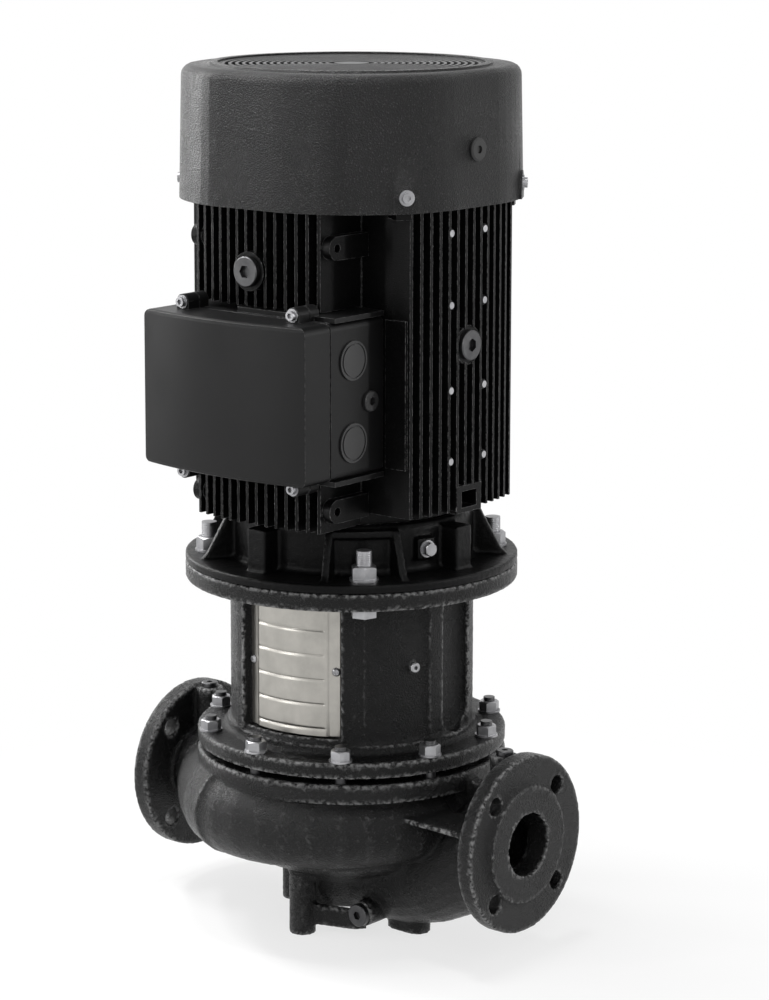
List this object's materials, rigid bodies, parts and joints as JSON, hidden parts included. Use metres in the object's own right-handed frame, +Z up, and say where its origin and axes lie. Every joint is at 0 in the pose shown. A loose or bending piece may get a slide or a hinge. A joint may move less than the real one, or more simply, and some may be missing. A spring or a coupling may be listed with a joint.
{
  "type": "circulation pump",
  "caption": "Vertical in-line circulation pump with a spiral housing, a stool over the shaft coupling and a finned fan-cooled motor.",
  "frame": {"origin": "on the shaft axis, in the plane of the four feet", "axes": "+Z up along the shaft towards the motor, +X towards the inlet flange, -Y towards the terminal box"},
  "size_m": [0.475, 0.391, 0.9143],
  "materials": {
    "housing_iron": "black coated, grainy cast",
    "stool_iron": "black coated, grainy cast",
    "motor_paint": "black satin paint on a casting",
    "cover_paint": "black textured powder coat",
    "box_paint": "black smooth satin",
    "guard_steel": "brushed sheet",
    "stainless": "machined",
    "zinc_steel": "zinc plated",
    "machined_steel": "turned",
    "dark_steel": "black oxide",
    "copper": "varnished",
    "brass": "plain",
    "rubber": "matt",
    "carbon": "lapped",
    "ceramic": "lapped",
    "black_plastic": "moulded",
    "brown_plastic": "moulded"
  },
  "bodies": {
    "pump": {"pump_housing": "housing_iron", "wear_ring": "stainless", "drain_plug": "dark_steel", "gauge_plugs": "dark_steel", "head_gasket": "rubber", "motor_stool": "stool_iron", "head_studs": "dark_steel", "head_nuts": "zinc_steel", "vent_screw": "zinc_steel", "seal_seat": "ceramic", "guard_front": "guard_steel", "guard_rear": "guard_steel", "guard_screws": "zinc_steel", "drive_end_bracket": "motor_paint", "motor_bolts": "zinc_steel", "motor_nuts": "zinc_steel", "bracket_plug": "zinc_steel", "bracket_screws": "dark_steel", "motor_frame": "motor_paint", "stator_core": "machined_steel", "stator_windings": "copper", "bearing_outer_rings": "machined_steel", "fan_end_shield": "motor_paint", "fan_cover": "cover_paint", "fan_grille": "black_plastic", "fan_cover_screws": "zinc_steel", "fan_cover_plug": "rubber", "eye_plugs": "dark_steel", "fin_pegs": "zinc_steel", "box_base": "box_paint", "box_gasket": "rubber", "box_lid": "box_paint", "box_screws": "zinc_steel", "knockout_plugs": "black_plastic", "box_side_plug": "black_plastic", "terminal_board": "brown_plastic", "terminal_studs": "brass"},
    "rotor": {"seal_ring": "carbon", "seal_spring": "stainless", "seal_collar": "stainless", "impeller": "stainless", "impeller_screw": "zinc_steel", "pump_shaft": "stainless", "coupling_half_front": "machined_steel", "coupling_half_rear": "machined_steel", "coupling_screws": "dark_steel", "rotor_core": "machined_steel", "motor_shaft": "machined_steel", "bearing_inner_rings": "machined_steel", "bearing_balls": "machined_steel", "fan": "black_plastic"}
  },
  "joints": [
    {"name": "shaft_spin", "type": "hinge", "parent": "pump", "child": "rotor", "pos_m": [0, 0, 0.4], "axis": [0, 0, 1], "continuous": true}
  ]
}
